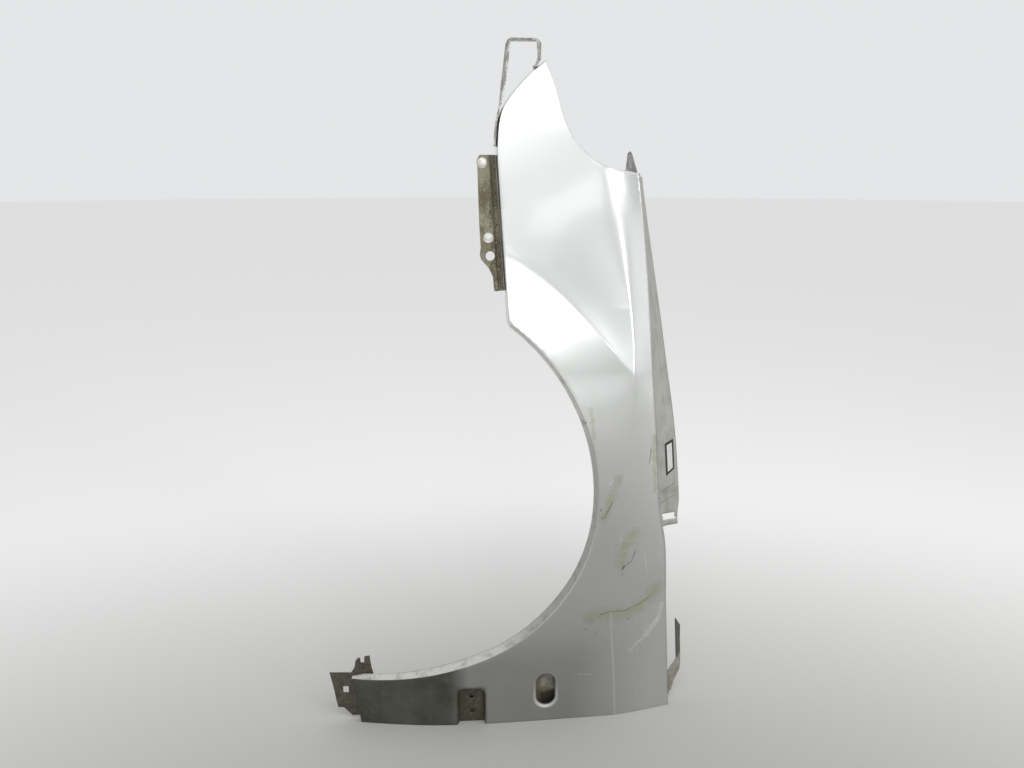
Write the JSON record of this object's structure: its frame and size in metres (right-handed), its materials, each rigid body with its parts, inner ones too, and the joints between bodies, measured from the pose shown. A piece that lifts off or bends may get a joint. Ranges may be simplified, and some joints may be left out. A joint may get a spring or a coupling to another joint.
{
  "type": "car fender",
  "caption": "Used left front car fender in silver paint, standing on its door edge, with wheel arch lip, hood ledge, oval repeater hole and welded brackets.",
  "frame": {"origin": "middle of the bounding box's footprint, on the surface that the door edge stands on", "axes": "+Z towards the front of the car, +X from the sill up to the hood, +Y inboard, so the outer skin looks along -Y"},
  "size_m": [0.6264, 0.1616, 1.1388],
  "materials": {
    "silver_paint": "metallic clear coat, worn and scratched",
    "soiled_steel": "zinc-coated sheet, soiled brown",
    "dark_steel": "sheet under dark road dirt"
  },
  "bodies": {
    "root": {"fender_panel": "silver_paint", "headlamp_strap_bracket": "soiled_steel", "bumper_side_bracket": "soiled_steel", "sill_bracket": "dark_steel", "cowl_bracket": "soiled_steel", "headlamp_corner_tab": "soiled_steel", "rear_inner_brace": "soiled_steel"}
  },
  "joints": []
}
